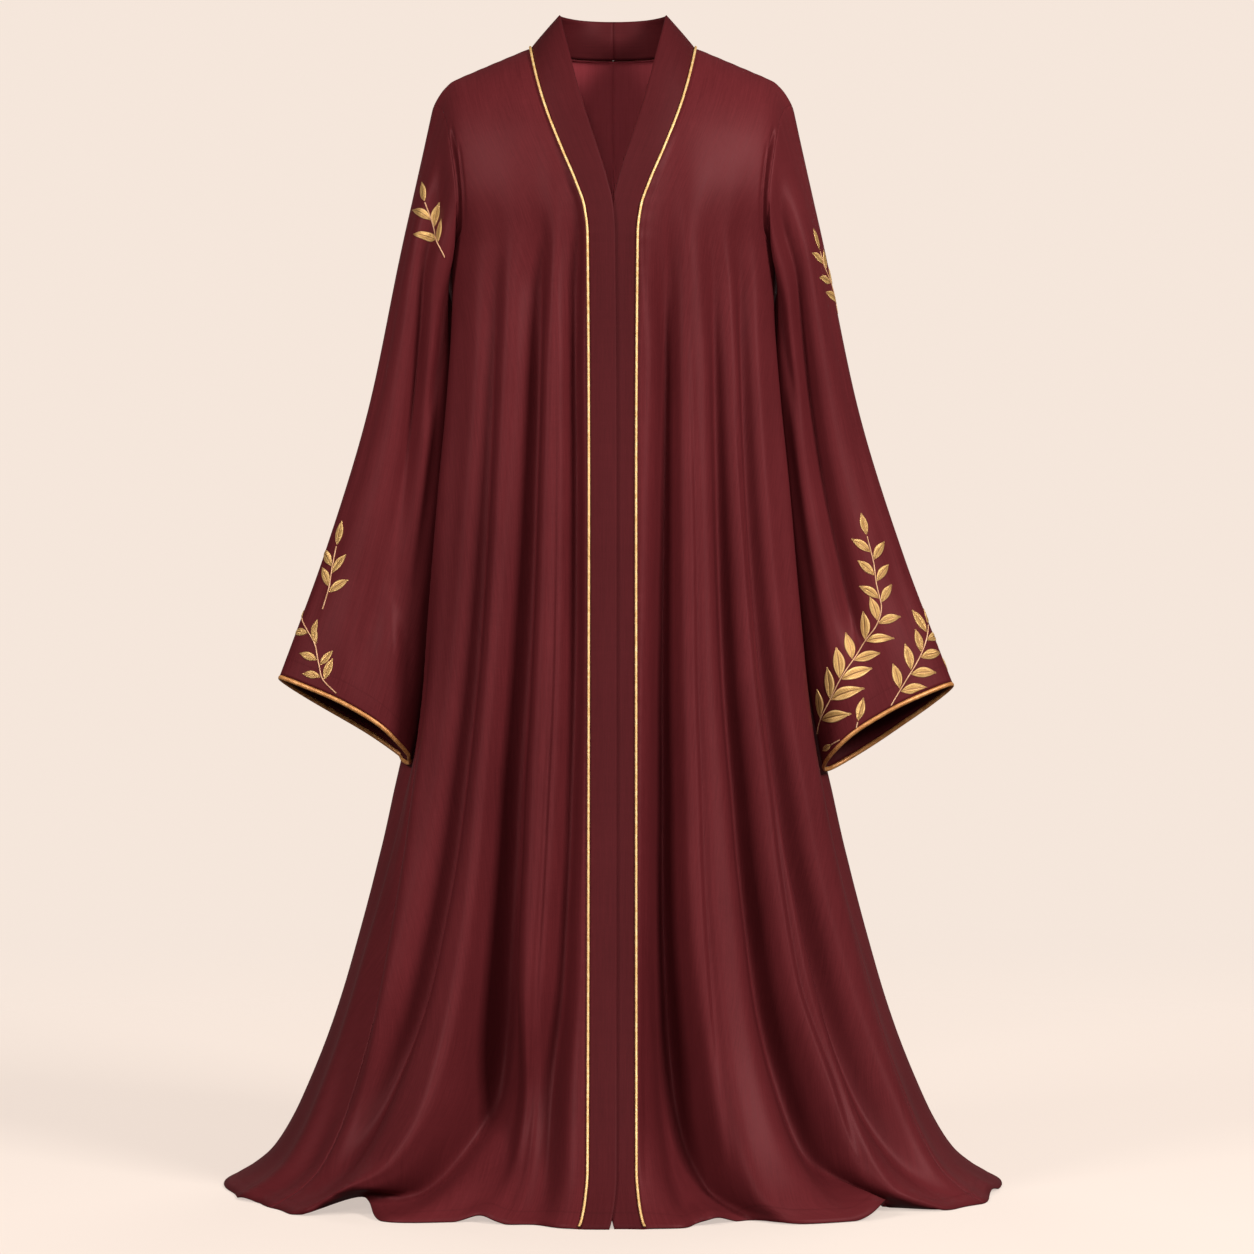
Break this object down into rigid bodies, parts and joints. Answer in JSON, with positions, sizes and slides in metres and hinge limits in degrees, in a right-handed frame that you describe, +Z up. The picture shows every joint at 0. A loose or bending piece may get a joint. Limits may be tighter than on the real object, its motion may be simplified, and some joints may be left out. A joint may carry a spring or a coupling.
{
  "type": "abaya",
  "caption": "Open-front full-length abaya cloak with a shawl neckband, wide hanging sleeves, gold piping and a hem spread on the floor.",
  "frame": {"origin": "midway between the two points where the shoulder seams meet the neckband, at their height, where the wearer holds the cloak up", "axes": "+Z up, the front opening faces -Y, +X to the wearer's left"},
  "size_m": [0.988, 0.7427, 1.485],
  "materials": {
    "satin": "wine satin, soft sheen",
    "gold_thread": "metallic gold thread, satin"
  },
  "bodies": {
    "root": {"front_right": "satin", "front_left": "satin", "back_right": "satin", "back_left": "satin", "sleeve_right": "satin", "sleeve_left": "satin", "band_right": "satin", "band_left": "satin", "piping_right": "gold_thread", "piping_left": "gold_thread", "binding_right": "gold_thread", "binding_left": "gold_thread"}
  },
  "joints": []
}
